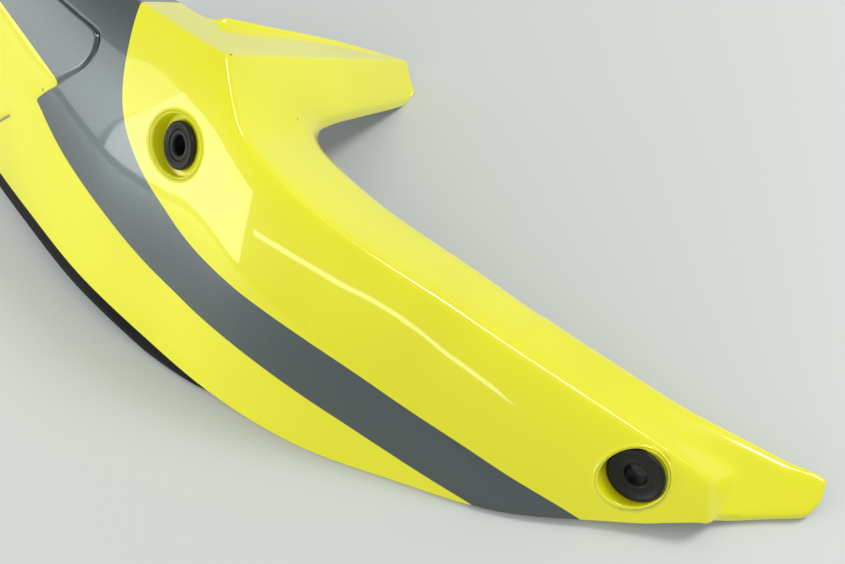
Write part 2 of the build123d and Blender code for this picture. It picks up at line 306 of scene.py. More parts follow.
# Rim between the outside and the inside
RETURN_SHARES = (0.35, 0.7, 1.0)
RIM_ROUND_ANGLES = (30, 60, 90, 120, 150)
BACK_SHARES = (1.0, 0.5)
PAINTED_RIM_ROWS = 6

# Finishes. marks: speck scale, speck amount and rub scale. rubs: how much of the rub colour shows,
# and that colour. rough: roughness and what rubs add to it. grain: coarse scale, fine scale and
# fine share. bump: strength and distance
PAINT_FINISH = {
    "marks": (95.0, 0.05, 22.0), "rough": (0.34, 0.10), "grain": (420.0, 1500.0, 0.25),
    "bump": (0.05, 0.0004),
}
BLACK_FINISHES = {
    "bare_plastic": {
        "marks": (160.0, 0.12, 18.0), "rubs": (0.35, (0.045, 0.045, 0.043)),
        "specks": (0.16, 0.16, 0.15), "specular": 0.5, "rough": (0.42, 0.2),
        "grain": (900.0, 2600.0, 0.6), "bump": (0.25, 0.0003),
    },
    # The lip's black plastic, its colour darkened further as painted shade under the edge
    "lip_plastic_and_shade": {
        "marks": (200.0, 0.1, 26.0), "rubs": (1.0, (0.014, 0.014, 0.012)),
        "specks": None, "specular": 0.1, "rough": (0.36, 0.2),
        "grain": (500.0, 1800.0, 0.4), "bump": (0.1, 0.0003),
    },
    "grommet_rubber": {
        "marks": (330.0, 0.16, 70.0), "rubs": (0.5, (0.05, 0.05, 0.047)),
        "specks": (0.11, 0.11, 0.1), "specular": 0.3, "rough": (0.45, 0.2),
        "grain": (1200.0, 4000.0, 0.5), "bump": (0.15, 0.0002),
    },
}
# Lip colour: black plastic, painted darker than the bare plastic of the same moulding as shade under
# the edge
LIP_BLACK_AND_SHADE = (0.003, 0.003, 0.0025)

# Dust specks' edge, and the stretch and range of the rub marks
SPECK_EDGE = (0.10, 0.05)
RUB_TURN = (0.0, 0.0, 0.6)
RUB_STRETCH = (1.0, 9.0, 3.0)
RUB_RANGE = (0.58, 0.74)

# Paint: deeper clouds of the yellow, flakes of the band and the coat over both
DEEP_YELLOW = (0.94, 0.93, 0.8)
CLOUD_SCALE = 14.0
CLOUD_RANGE = (0.3, 0.7)
FLAKE_SCALE = 9000.0
DARK_FLAKE = 0.85
LIGHT_FLAKE = 1.25
BAND_EDGE = 0.09
BAND_METALLIC = 0.85
PAINT_SETTINGS = {
    "Coat Weight": 1.0, "Coat Roughness": 0.045, "Coat IOR": 1.45, "Specular IOR Level": 0.25,
}

# Dust on the paint, two dark spots with their radii, and the painted shade in the slot and the seam
PAINT_SPECK_SHARE = 0.45
PAINT_SPECKS = (0.05, 0.05, 0.03)
SPOTS = [((-71.1, -13.3, 103.6), 0.75), ((-55.1, -1.5, 67.9), 0.4)]
SPOT_CORE = 0.7
SPOT_BLACK = (0.01, 0.01, 0.008)
# Painted shade of the slot and the seam
SLOT_PAINTED_SHADE = (0.01, 0.01, 0.01)

# Lamps: place, target, size, power and roll in degrees
LAMPS = {
    "back_lamp": ((0.56, 0.74, 1.06), (0.0, 0.0, 0.03), (0.42, 0.3), 8.8, 0.0),
    "left_window": ((-0.56, -0.83, 0.25), (-0.05, -0.04, 0.08), (0.5, 0.45), 3.1, 0.0),
    "left_wall": ((-0.90, -0.42, 0.24), (-0.10, -0.03, 0.06), (0.6, 0.42), 1.5, 0.0),
    "front_tube": ((0.14, -1.092, 0.390), (0.03, -0.05, 0.05), (1.05, 0.035), 0.75, 13.0),
}
WORLD_COLOUR = (0.86, 0.88, 0.88, 1.0)
WORLD_STRENGTH = 0.74

# Floor and camera
FLOOR_HALF = 4.0
FLOOR_ROUGHNESS = 0.55
CAMERA_SENSOR = 36.0
CAMERA_LENS = 48.99
CAMERA_PLACE = (0.1698, -0.2091, 0.4003)
CAMERA_TARGET = (0.0305, -0.0014, 0.0)


def length(name, description, default):
    return FloatProperty(name=name, description=description, default=default, unit="LENGTH")


def colour(name, description, default):
    return FloatVectorProperty(name=name, description=description, default=default,
                               subtype="COLOR", size=3, min=0, max=1)


class FairingSettings(bpy.types.PropertyGroup):
    """Sizes and colours of the fairing."""

    wall: length("Wall", "Thickness of the moulded wall", 0.0028)
    spacing: length("Mesh spacing", "Spacing of the panel's mesh", 0.0021)
    lip_height: length("Lip height", "How far the black lip hangs below the paint", 0.0065)
    yellow: colour("Yellow", "Colour of the lemon paint", (0.86, 0.835, 0.009))
    band: colour("Band", "Colour of the metallic band", (0.080, 0.098, 0.100))
    plastic: colour("Bare plastic", "Colour of the unpainted plastic", (0.012, 0.012, 0.013))
    rubber: colour("Rubber", "Colour of the grommets", (0.006, 0.006, 0.006))
    floor: colour("Floor", "Colour of the floor", (0.62, 0.645, 0.625))


# Points that are measured against a line at a time
BATCH = 4096


# Surfaces

def smooth(table, x):
    """Columns of a table at x, on a smooth line through its rows."""
    last = len(table) - 1
    xs = table[:, 0]
    i = np.clip(np.searchsorted(xs, x, side="right") - 1, 0, last - 1)
    before = table[np.maximum(np.arange(last + 1) - 1, 0)]
    after = table[np.minimum(np.arange(last + 1) + 1, last)]
    slopes = (after - before) / (after[:, :1] - before[:, :1])
    span = (xs[i + 1] - xs[i])[..., None]
    t = (np.asarray(x)[..., None] - xs[i][..., None]) / span
    start, end = table[i], table[i + 1]
    leaving, arriving = slopes[i] * span, slopes[i + 1] * span
    u = np.clip(t, 0, 1)
    rise = u * u * (3 - 2 * u)
    bend = u * (1 - u) * (leaving * (1 - u) - arriving * u)
    values = start + (end - start) * rise + bend
    values = values + leaving * np.minimum(t, 0) + arriving * np.maximum(t - 1, 0)
    return np.moveaxis(values[..., 1:], -1, 0)


def soft_min(a, b, width):
    return (a + b - np.sqrt((a - b) ** 2 + width**2)) / 2


def soft_max(a, b, width):
    return (a + b + np.sqrt((a - b) ** 2 + width**2)) / 2


def fade(start, end, value):
    """Smooth step from 0 at start to 1 at end."""
    t = np.clip((value - start) / (end - start), 0, 1)
    return t * t * (3 - 2 * t)


def skin_height(x, y):
    low_y, low_z, top_y, top_z, crown = smooth(SKIN, x)
    u = (y - low_y) / (top_y - low_y)
    skin = low_z + (top_z - low_z) * u + 4 * crown * u * (1 - u)
    return skin + SKIN_END_SLOPE * np.maximum(0, u - SKIN_END_SHARE)


def flange_height(x, y):
    cx, cy, cz = CREST_CORNER
    return cz - FLANGE_FALL * (y - cy) - FLANGE_TILT * (x - cx)


def ledge_height(x, y):
    cx, cy, cz = CREST_CORNER
    seat_y, seat_z, fall = smooth(LEDGE, x)[:3]
    arm = cz - FLANGE_FALL * (y - cy) - ARM_FALL * (x - cx)
    return soft_max(seat_z + fall * (seat_y - y), arm, SCOOP_BLEND)


def front_height(x, y):
    edge_x, edge_y, edge_z = FRONT_EDGE
    return edge_z - FRONT_FALL * (x - edge_x) + FRONT_RISE * (y - edge_y)


def foot_height(x, y):
    """Low tip and the ledge's foot, held down behind the crest."""
    seat_y, _, _, seat_z, fall = smooth(LEDGE, x)
    line = np.interp(x, FOOT_LINE[:, 0], FOOT_LINE[:, 1])
    held = FOOT_HOLD * np.maximum(0, line + FOOT_MARGIN - y) * (1 - fade(*FOOT_FADE, x))
    held = held + np.maximum(0, FOOT_FROM - x)
    return seat_z + fall * (seat_y - y) - held


def run_through(points, step):
    """Smooth plan line through points, sampled about a step apart; other columns go straight."""
    p = np.array(points, float)
    if len(p) == 2:
        n = max(1, round(np.linalg.norm(p[1, :2] - p[0, :2]) / step))
        return p[0] + (p[1] - p[0]) * np.linspace(0, 1, n + 1)[:, None]
    span = np.linalg.norm(np.diff(p[:, :2], axis=0), axis=1)
    rate = np.diff(p[:, :2], axis=0) / span[:, None]
    slope = np.empty((len(p), 2))
    both = (span[:-1] + span[1:])[:, None]
    slope[1:-1] = (rate[:-1] * span[1:, None] + rate[1:] * span[:-1, None]) / both
    slope[0] = 1.5 * rate[0] - 0.5 * slope[1]
    slope[-1] = 1.5 * rate[-1] - 0.5 * slope[-2]
    rows = []
    for i, length in enumerate(span):
        n = max(1, round(length / step))
        for t in np.arange(n) / n:
            rise = t * t * (3 - 2 * t)
            bend = t * (1 - t) * length * (slope[i] * (1 - t) - slope[i + 1] * t)
            row = p[i] + (p[i + 1] - p[i]) * t
            row[:2] = p[i, :2] + (p[i + 1, :2] - p[i, :2]) * rise + bend
            rows.append(row)
    rows.append(p[-1])
    return np.array(rows)


def joined(runs, step):
    """Closed outline of smooth runs joined by straight lines."""
    parts = []
    for run, following in zip(runs, runs[1:] + runs[:1]):
        parts.append(run_through(run, step)[:-1])
        parts.append(run_through([run[-1], following[0]], step)[:-1])
    return np.concatenate(parts)


def nearest(line, x, y, closed):
    """Distance from points to a plan line, with the nearest segment and the place on it."""
    start = line[:, :2] if closed else line[:-1, :2]
    end = np.roll(line[:, :2], -1, axis=0) if closed else line[1:, :2]
    along = end - start
    length2 = (along**2).sum(1)
    px, py = np.ravel(x), np.ravel(y)
    gap, index, place = np.empty(len(px)), np.empty(len(px), int), np.empty(len(px))
    for first in range(0, len(px), BATCH):
        part = slice(first, first + BATCH)
        dx = px[part, None] - start[None, :, 0]
        dy = py[part, None] - start[None, :, 1]
        t = np.clip((dx * along[:, 0] + dy * along[:, 1]) / length2, 0, 1)
        d2 = (dx - t * along[:, 0]) ** 2 + (dy - t * along[:, 1]) ** 2
        k = d2.argmin(1)
        rows = np.arange(len(k))
        gap[part], index[part], place[part] = np.sqrt(d2[rows, k]), k, t[rows, k]
    shape = np.shape(x)
    return gap.reshape(shape), index.reshape(shape), place.reshape(shape)


def inside(line, x, y):
    """Whether points lie inside a closed plan line."""
    hit = np.zeros(np.shape(x), bool)
    for (ax, ay), (bx, by) in zip(line[:, :2], np.roll(line[:, :2], -1, axis=0)):
        crosses = (ay > y) != (by > y)
        hit ^= crosses & (x < ax + (bx - ax) * (y - ay) / ((by - ay) or 1e-12))
    return hit


def signed(line, x, y):
    """Distance inside a closed plan line, negative outside it."""
    gap = nearest(line, x, y, True)[0]
    return np.where(inside(line, x, y), gap, -gap)


OUTLINE = joined(OUTLINE_RUNS, OUTLINE_STEP)
PAD_LINE = joined([PAD], PAD_STEP)
BAND_AREA = np.concatenate([
    run_through(BAND, BAND_STEP), BAND_REAR,
    run_through(BAND_LOWER[:-2], BAND_STEP), BAND_LOWER[-2:],
])


def form_height(x, y):
    """Height of the panel's outside before its edges are rolled."""
    front = front_height(x, y)
    behind = soft_min(ledge_height(x, y), front, FRONT_BLEND)
    main = soft_min(skin_height(x, y), behind, CREST_BLEND)
    main = soft_min(main, front, NOSE_BLEND)
    main = soft_min(main, flange_height(x, y), FOLD_BLEND)
    height = soft_max(main, foot_height(x, y), FOOT_BLEND)
    ground = soft_max(height, GROUND_HEIGHT, GROUND_BLEND)
    height = np.where(y > GROUND_FROM_Y, ground, height)
    return height + pad_height(x, y) - SLOT_DEPTH * slot_share(x, y, SLOT_WIDTH)


def pad_height(x, y):
    """Raised pad with its seam."""
    edge = signed(PAD_LINE, x, y)
    soft = fade(*PAD_SOFT_X, x) * fade(*PAD_SOFT_Y, y)
    rise = PAD_RISE * fade(-PAD_EDGE - PAD_SOFT_OUT * soft, PAD_EDGE + PAD_SOFT_IN * soft, edge)
    return (rise - SEAM_DEPTH * seam_share(x, y)) * fade(*PAD_FROM_X, x)


def seam_share(x, y):
    """How far a place lies in the seam round the pad, 1 in its middle."""
    edge = signed(PAD_LINE, x, y)
    full = fade(*SEAM_FULL_Y, y) * fade(*SEAM_FULL_X, x)
    share = (SEAM_FAINT + (1 - SEAM_FAINT) * full) * fade(*SEAM_END_X, x)
    return share * np.exp(-(((edge + SEAM_GAP) / SEAM_WIDTH) ** 2))


def slot_share(x, y, width):
    """How far a place lies in the slot, 1 in its middle."""
    gap = nearest(np.array(SLOT), x, y, False)[0]
    return np.exp(-((gap / width) ** 4))


def edge_values(x, y):
    """Distance to the outline with the roll radius, return depth and curl of the nearest edge."""
    gap, index, place = nearest(OUTLINE, x, y, True)
    after = np.roll(OUTLINE, -1, axis=0)
    values = OUTLINE[index] + (after[index] - OUTLINE[index]) * place[..., None]
    return gap, values[..., 2], values[..., 3], values[..., 4]


def full_height(x, y):
    """Height of the panel's outside with rolled and curled edges."""
    gap, roll, _, curl = edge_values(x, y)
    radius = np.maximum(roll, 1e-3)
    share = np.clip((radius - gap) / radius, 0, 1)
    drop = radius * (1 - np.sqrt(1 - share**2))
    lift = curl * np.clip(1 - gap / CURL_WIDTH, 0, 1) ** CURL_POWER
    return form_height(x, y) - drop + lift


def unit(vectors):
    return vectors / np.linalg.norm(vectors, axis=-1, keepdims=True)


def normals(height, x, y, step):
    """Unit normals of a height surface."""
    along = (height(x + step, y) - height(x - step, y)) / (2 * step)
    across = (height(x, y + step) - height(x, y - step)) / (2 * step)
    return unit(np.stack([-along, -across, np.ones_like(along)], -1))


# Panel mesh

def root_along(low, high, value):
    """Where value turns from negative to positive between low and high, by halving."""
    low, high = np.array(low, float), np.array(high, float)
    for _ in range(40):
        middle = (low + high) / 2
        above = value(middle) > 0
        high = np.where(above, middle, high)
        low = np.where(above, low, middle)
    return (low + high) / 2


def crest_lines():
    """Plan lines of the flange's fold, the crest, the arm's fold and the ledge's foot."""
    cx, cy, _ = CREST_CORNER
    rear = np.arange(FOLD_REAR_X, cx, FOLD_STEP)
    front = np.arange(cx, CREST_END_X, FOLD_STEP)
    foot = np.arange(*FOOT_FOLD_X, FOLD_STEP)
    arm_y = np.arange(cy, ARM_FOLD_END_Y, FOLD_STEP)

    def on_skin(x, other):
        """Where the skin meets another surface near its crest."""
        low_y, _, top_y = smooth(SKIN, x)[:3]
        start = low_y * (1 - FOLD_SEARCH_FROM) + top_y * FOLD_SEARCH_FROM
        return root_along(start, top_y + FOLD_SEARCH, lambda y: skin_height(x, y) - other(x, y))

    foot_from = np.interp(foot, FOOT_LINE[:, 0], FOOT_LINE[:, 1]) + FOOT_MARGIN
    foot_y = root_along(foot_from, smooth(LEDGE, foot)[0],
                        lambda y: foot_height(foot, y) - ledge_height(foot, y))
    lines = [(rear, on_skin(rear, flange_height)), (front, on_skin(front, ledge_height)),
             (np.full_like(arm_y, cx), arm_y), (foot, foot_y)]
    return [np.stack(line, -1) for line in lines]


def left_of(line, closed=False):
    """Unit directions to the left of a plan line at its points."""
    if closed:
        travel = np.roll(line, -1, axis=0) - np.roll(line, 1, axis=0)
    else:
        travel = np.gradient(line, axis=0)
    return unit(np.stack([-travel[:, 1], travel[:, 0]], -1))


def beside(line, offsets, closed=False):
    """Plan points beside a line, at each of the offsets to its left."""
    line = line[:, :2]
    left = left_of(line, closed)
    return np.concatenate([line + left * offset for offset in offsets])


def seat_axes(seat):
    """Place, outward axis and two cross directions of a grommet seat."""
    place, axis = np.array(seat[0]), np.array(seat[1])
    axis = axis / np.linalg.norm(axis)
    side = np.cross(axis, (0.0, 0.0, 1.0))
    side /= np.linalg.norm(side)
    return place, axis, side, np.cross(side, axis)


def seat_ring(seat, radius, depth):
    """Points round a bolt axis at a radius and a depth along the axis."""
    place, axis, side, up = seat_axes(seat)
    angle = np.arange(SEAT_SEGMENTS) * 2 * pi / SEAT_SEGMENTS
    ring = place + radius * (np.cos(angle)[:, None] * side + np.sin(angle)[:, None] * up)
    return ring + np.broadcast_to(depth, angle.shape)[:, None] * axis


def rim_depths(seat, radius):
    """Where a cylinder round the bolt axis meets the panel's outside."""

    def above(depth):
        p = seat_ring(seat, radius, depth)
        return p[:, 2] - full_height(p[:, 0], p[:, 1])

    reach = np.full(SEAT_SEGMENTS, RIM_REACH)
    return root_along(-reach, reach, above)


def edge_rows():
    """Mesh points along the outline, with their least distances to it and to other points."""
    inward = left_of(OUTLINE[:, :2], True)
    rows = []
    for angle in ROLL_ANGLES:
        lift = 1 - cos(radians(angle))
        for (x, y, roll), n in zip(OUTLINE[:, :3], inward):
            if roll > LEAST_ROLL and (roll > WIDE_ROLL or angle in NARROW_ANGLES):
                rows.append((x + n[0] * roll * lift, y + n[1] * roll * lift,
                             roll * lift * EDGE_CLEAR, 0.0))
    for gap in EDGE_GAPS:
        for (x, y, roll), n in zip(OUTLINE[:, :3], inward):
            if roll <= LEAST_ROLL:
                rows.append((x + n[0] * gap, y + n[1] * gap, gap * EDGE_CLEAR, 0.0))
    return rows


def thinned(rows, fixed):
    """Fixed points, then the rows that keep their distance to the rows before them."""
    taken = {}
    kept = [tuple(p) for p in fixed]
    for x, y, _, apart in rows:
        column, row = int(x // THINNING_CELL), int(y // THINNING_CELL)
        near = (q for i in (-1, 0, 1) for j in (-1, 0, 1)
                for q in taken.get((column + i, row + j), ()))
        if apart and any((x - qx) ** 2 + (y - qy) ** 2 < apart * apart for qx, qy in near):
            continue
        taken.setdefault((column, row), []).append((x, y))
        kept.append((x, y))
    return np.array(kept)


def panel_points(spacing):
    """Plan points of the panel's sheet, the outline's and the seat rims' first, and the rims."""
    rims = []
    for seat in SEATS.values():
        radius = seat[4] + RIM_ROUNDING
        rims.append(seat_ring(seat, radius, rim_depths(seat, radius))[:, :2])
    rows = edge_rows()

    def add(points, clear, apart):
        rows.extend((x, y, clear, apart) for x, y in points)

    def add_beside(line, table, closed=False):
        offsets, clear, apart = table
        add(beside(line, offsets, closed), clear, apart)

    folds = crest_lines()
    for line in folds[:3]:
        add_beside(line, FOLD_POINTS)
    add_beside(folds[3], FOOT_POINTS)
    nose = [(x, y) for x in np.arange(*NOSE_X, NOSE_STEP) for y in np.arange(*NOSE_Y, NOSE_STEP)]
    add(nose, *NOSE_LIMITS)
    add_beside(PAD_LINE, PAD_POINTS, True)
    add_beside(run_through(SLOT, SLOT_STEP), SLOT_POINTS)
    for seat in SEATS.values():
        for extra in SEAT_RINGS:
            radius = seat[4] + RIM_ROUNDING + extra
            add(seat_ring(seat, radius, rim_depths(seat, radius))[:, :2], *SEAT_LIMITS)
    clear, apart = GRID_LIMITS
    for j, y in enumerate(np.arange(*SHEET_Y, spacing * ROW_PITCH)):
        start = SHEET_X[0] + (j % 2) * spacing / 2
        add([(x, y) for x in np.arange(start, SHEET_X[1], spacing)], clear, spacing * apart)
    rows = np.array(rows)
    x, y = rows[:, 0], rows[:, 1]
    keep = inside(OUTLINE, x, y) & (nearest(OUTLINE, x, y, True)[0] >= rows[:, 2])
    for rim in rims:
        keep &= ~inside(rim, x, y) & (nearest(rim, x, y, True)[0] > SEAT_CLEAR)
    return thinned(rows[keep], np.concatenate([OUTLINE[:, :2]] + rims)), rims


def panel_sheet(spacing):
    """Triangles of the panel's plan, with the vertex numbers of the outline and the seat rims."""
    points, rims = panel_points(spacing)
    loops, first = [], 0
    for size in [len(OUTLINE)] + [len(rim) for rim in rims]:
        loops.append(np.arange(first, first + size))
        first += size
    edges = [(int(a), int(b)) for loop in loops for a, b in zip(loop, np.roll(loop, -1))]
    result = geometry.delaunay_2d_cdt([Vector(p) for p in points], edges, [], 0, 1e-7, True)
    plan = np.array([tuple(v) for v in result[0]])
    triangles = np.array(result[2])
    place = np.empty(len(points), int)
    for new, olds in enumerate(result[3]):
        for old in olds:
            place[old] = new
    middle = plan[triangles].mean(1)
    keep = inside(OUTLINE, middle[:, 0], middle[:, 1])
    for rim in rims:
        keep &= ~inside(rim, middle[:, 0], middle[:, 1])
    return plan, triangles[keep], [place[loop] for loop in loops]


class MeshParts:
    """Vertices, faces and finishes of a mesh that is put together patch by patch."""

    def __init__(self):
        self.points, self.faces, self.finish = [], [], []
        self.count = 0

    def add(self, points):
        """Adds vertices and gives their numbers."""
        points = np.asarray(points, float)
        self.points.append(points)
        self.count += len(points)
        return np.arange(self.count - len(points), self.count)

    def strip(self, a, b, finish, flip=False):
        """Closed band of faces between two rings."""
        for i in range(len(a)):
            j = (i + 1) % len(a)
            face = (a[i], a[j], b[j], b[i])
            self.faces.append(face[::-1] if flip else face)
            self.finish.append(finish)


def edge_frames(points, plan_line, roll, normal):
    """Outward normal and the direction that carries the surface on past each edge point."""
    travel = unit(np.roll(points, -1, axis=0) - np.roll(points, 1, axis=0))
    flat = np.roll(plan_line, -1, axis=0) - np.roll(plan_line, 1, axis=0)
    out = unit(np.stack([flat[:, 1], -flat[:, 0], 0 * flat[:, 0]], -1))
    share = np.clip(roll / FULL_ROLL, 0, 1)[:, None]
    n = normal * (1 - share) + out * share
    n = unit(n - (n * travel).sum(1, keepdims=True) * travel)
    return n, np.cross(travel, n)


def panel_mesh(wall, spacing):
    """Closed mesh of the panel: outside, inside, rims and grommet seats."""
    plan, triangles, loops = panel_sheet(spacing)
    x, y = plan[:, 0], plan[:, 1]
    outside = np.stack([x, y, np.maximum(full_height(x, y), LEAST_OUTSIDE)], -1)
    gap, roll, _, _ = edge_values(x, y)
    exact = normals(full_height, x, y, EXACT_STEP)
    broad = normals(form_height, x, y, BROAD_STEP)
    plain = normals(form_height, x, y, PLAIN_STEP)
    loop = loops[0]
    n_edge, onward = edge_frames(outside[loop], OUTLINE[:, :2], OUTLINE[:, 2], plain[loop])
    share = fade(roll, roll + EDGE_REACH, gap)[:, None]
    through = exact * (1 - share) + broad * share
    at_plain_edge = (roll < LEAST_ROLL) & (gap < EDGE_REACH)
    through = np.where(at_plain_edge[:, None], broad, through)
    through[loop] = n_edge
    through = unit(through)
    thin = THIN_PER_ROLL * roll + THIN_PER_GAP * gap
    thin = np.where((roll > THIN_ROLLS[0]) & (roll < THIN_ROLLS[1]), thin, wall)
    depth = np.minimum(wall, np.maximum(thin, THINNEST))
    behind = outside - through * depth[:, None]
    behind[:, 2] = np.maximum(behind[:, 2], LEAST_INSIDE)
    parts = MeshParts()
    front = parts.add(outside)
    back = parts.add(behind)
    parts.faces += [tuple(t) for t in front[triangles]]
    parts.faces += [tuple(t) for t in back[triangles][:, ::-1]]
    parts.finish += [0] * len(triangles) + [1] * len(triangles)
    edge_strips(parts, front[loop], back[loop], outside[loop], n_edge, onward, depth[loop])
    for seat, ring in zip(SEATS.values(), loops[1:]):
        seat_cup(parts, seat, front[ring], back[ring], wall)
    return parts


def edge_strips(parts, outer, inner, points, n, onward, depth):
    """Return wall and rounded rim that close the panel between its outside and inside."""
    reach = np.maximum(OUTLINE[:, 3], LEAST_RETURN)[:, None]
    half = depth[:, None] / 2
    bulge = np.minimum(half, EDGE_BULGE)
    rows = [points + onward * reach * share for share in RETURN_SHARES]
    centre = points + onward * reach - n * half
    for angle in RIM_ROUND_ANGLES:
        a = radians(angle)
        rows.append(centre + n * half * cos(a) + onward * bulge * sin(a))
    rows += [points + onward * reach * share - n * 2 * half for share in BACK_SHARES]
    last = outer
    for k, row in enumerate(rows):
        row[:, 2] = np.maximum(row[:, 2], LEAST_RIM)
        ring = parts.add(row)
        parts.strip(last, ring, 0 if k < PAINTED_RIM_ROWS else 1, True)
        last = ring
    parts.strip(last, inner, 1, True)


def seat_cup(parts, seat, outer, inner, wall):
    """Sunk grommet seat: rounded rim, wall, floor, neck hole and the cup behind it."""
    radius, floor = seat[4], -seat[5]
    neck = seat[2] * NECK_SHARE + FIT_GAP
    rim_out = rim_depths(seat, radius + RIM_ROUNDING)
    rim_in = rim_depths(seat, radius)
    edge = np.minimum(floor, rim_in - CUP_LEAST_ROOM)
    room = rim_in - edge
    ease = np.clip(room / CUP_FULL_ROOM, 0, 1)
    rows = []
    for angle in RIM_ANGLES:
        share = sin(radians(angle))
        line = rim_out + (rim_in - rim_out) * share
        drop = RIM_DROP * ease * (1 - cos(radians(angle)))
        rows.append((radius + RIM_ROUNDING * (1 - share), line - drop))
    rows.append((radius, edge + room * CUP_MIDDLE))
    rows += [(radius - inset, edge + rise * ease) for inset, rise in CUP_CORNER]
    rows += [(neck, floor), (neck, floor - wall), (radius + CUP_WALL - CUP_BEVEL, floor - wall),
             (radius + CUP_WALL, floor - wall + CUP_BEVEL)]
    last = outer
    for k, (r, depth) in enumerate(rows):
        ring = parts.add(seat_ring(seat, r, depth))
        parts.strip(last, ring, 0 if k < PAINTED_CUP_ROWS else 1)
        last = ring
    parts.strip(last, inner, 1)


def place_points(points):
    """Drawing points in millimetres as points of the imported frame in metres."""
    return (np.asarray(points, float) - DRAWING_ORIGIN) * MM


def new_object(name, parts, materials):
    """Smooth mesh object at the frame's origin."""
    mesh = bpy.data.meshes.new(name)
    corners = [tuple(p) for p in place_points(np.concatenate(parts.points))]
    mesh.from_pydata(corners, [], [tuple(int(i) for i in f) for f in parts.faces])
    for material in materials:
        mesh.materials.append(material)
    if parts.finish:
        mesh.polygons.foreach_set("material_index", np.array(parts.finish, np.int32))
    mesh.polygons.foreach_set("use_smooth", np.ones(len(mesh.polygons), bool))
    mesh.update()
    obj = bpy.data.objects.new(name, mesh)
    bpy.context.scene.collection.objects.link(obj)
    return obj


def give_values(obj, name, values):
    """Stores one number for each vertex, for the materials to read."""
    layer = obj.data.attributes.new(name, "FLOAT", "POINT")
    layer.data.foreach_set("value", np.asarray(values, np.float32))


# Lip and grommets

def lip_mesh(height):
    """Black lip: a thin strip that hangs below the rear lower edge, stepped in from the skin."""
    line = run_through([row[:2] for row in LOWER_RUN], LIP_LINE_STEP)
    line = line[(line[:, 0] >= LIP_RANGE[0]) & (line[:, 0] <= LIP_RANGE[1])]
    x, y = line[:, 0], line[:, 1]
    points = np.stack([x, y, skin_height(x, y)], -1)
    n = normals(skin_height, x, y, LIP_NORMAL_STEP)
    travel = np.gradient(points, axis=0)
    out = unit(np.stack([travel[:, 1], -travel[:, 0], 0 * x], -1))
    down = unit(unit(np.cross(travel, n)) + LIP_FLARE * out)
    taper = np.sqrt(np.clip((LIP_RANGE[1] - x) / LIP_TAPER, LIP_LEAST_TAPER, 1))
    room = (points[:, 2] - LIP_GROUND) / np.abs(down[:, 2]) * LIP_GROUND_SHARE
    reach = np.minimum(height * taper, room)

    def row_at(depth, along):
        return points - n * depth + down * along

    back = LIP_STEP + LIP_THICKNESS
    half = LIP_THICKNESS / 2
    hung = [(reach * share)[:, None] for share in LIP_SHARES]
    rows = [row_at(LIP_STEP, -LIP_ROOT)] + [row_at(LIP_STEP, along) for along in hung]
    centre = row_at(LIP_STEP + half, (reach - half * taper)[:, None])
    for angle in LIP_ANGLES:
        a = radians(angle)
        rows.append(centre + n * half * cos(a) + down * (half * sin(a) * taper)[:, None])
    rows += [row_at(back, hung[-1]), row_at(back, hung[0]), row_at(back, -LIP_ROOT)]
    parts = MeshParts()
    ids = [parts.add(row) for row in rows]
    for a, b in zip(ids, ids[1:] + ids[:1]):
        for i in range(len(a) - 1):
            parts.faces.append((a[i], b[i], b[i + 1], a[i + 1]))
    parts.faces.append([ring[0] for ring in ids])
    parts.faces.append([ring[-1] for ring in ids][::-1])
    return parts


def grommet_mesh(seat, wall):
    """Turned rubber grommet: dished disc with a rounded rim, neck and inner disc."""
    disc, bore = seat[2], seat[3]
    under = -wall - FIT_GAP
    radii = {
        "disc": disc, "bore": bore, "neck": disc * NECK_SHARE, "inner": disc * INNER_DISC_SHARE,
    }
    levels = {
        "under": under, "foot": under - DISC_THICKNESS, "floor": FIT_GAP, "top": DISC_THICKNESS,
    }
    parts = MeshParts()
    rings = [parts.add(seat_ring(seat, radii[size] + wider, levels[level] + higher - seat[5]))
             for size, wider, level, higher in GROMMET_SECTION]
    for a, b in zip(rings, rings[1:] + rings[:1]):
        parts.strip(a, b, 0)
    return parts


# Materials

def material(name):
    """Empty node material with a Principled shader."""
    mat = bpy.data.materials.new(name)
    mat.use_nodes = True
    tree = mat.node_tree
    tree.nodes.clear()
    out = tree.nodes.new("ShaderNodeOutputMaterial")
    shader = tree.nodes.new("ShaderNodeBsdfPrincipled")
    tree.links.new(shader.outputs["BSDF"], out.inputs["Surface"])
    return mat, tree, shader


def node(tree, kind, settings=None, **inputs):
    """Node with its settings and its sockets, each given a value or an output to read."""
    made = tree.nodes.new(kind)
    for key, value in (settings or {}).items():
        setattr(made, key, value)
    for key, value in inputs.items():
        numbered = key[0] == "_" and key[1:].isdigit()
        socket = made.inputs[int(key[1:]) if numbered else key.replace("_", " ")]
        if isinstance(value, bpy.types.NodeSocket):
            tree.links.new(value, socket)
        else:
            socket.default_value = value
    return made


def math_node(tree, operation, a, b):
    return node(tree, "ShaderNodeMath", {"operation": operation}, _0=a, _1=b).outputs[0]


def ramp(tree, value, low, high):
    """Smooth step of a value from 0 at one limit to 1 at the other."""
    return node(tree, "ShaderNodeMapRange", {"interpolation_type": "SMOOTHSTEP"}, Value=value,
                From_Min=low, From_Max=high).outputs[0]


def noise(tree, place, scale, detail, **more):
    return node(tree, "ShaderNodeTexNoise", Vector=place, Scale=scale, Detail=detail,
                **more).outputs[0]


def attribute(tree, name):
    return node(tree, "ShaderNodeAttribute", {"attribute_name": name}).outputs["Fac"]


def object_place(tree):
    return tree.nodes.new("ShaderNodeTexCoord").outputs["Object"]


def mix_colour(tree, share, a, b):
    """Colour a with a share of colour b."""
    a, b = (c if isinstance(c, bpy.types.NodeSocket) else (*c, 1.0) for c in (a, b))
    return node(tree, "ShaderNodeMix", {"data_type": "RGBA"}, _0=share, _6=a, _7=b).outputs[2]


def cells(tree, place, scale):
    """Random number of each cell of a pattern, and the distance from its centre."""
    made = node(tree, "ShaderNodeTexVoronoi", Vector=place, Scale=scale)
    chance = node(tree, "ShaderNodeSeparateColor", _0=made.outputs["Color"]).outputs[0]
    return chance, made.outputs["Distance"]


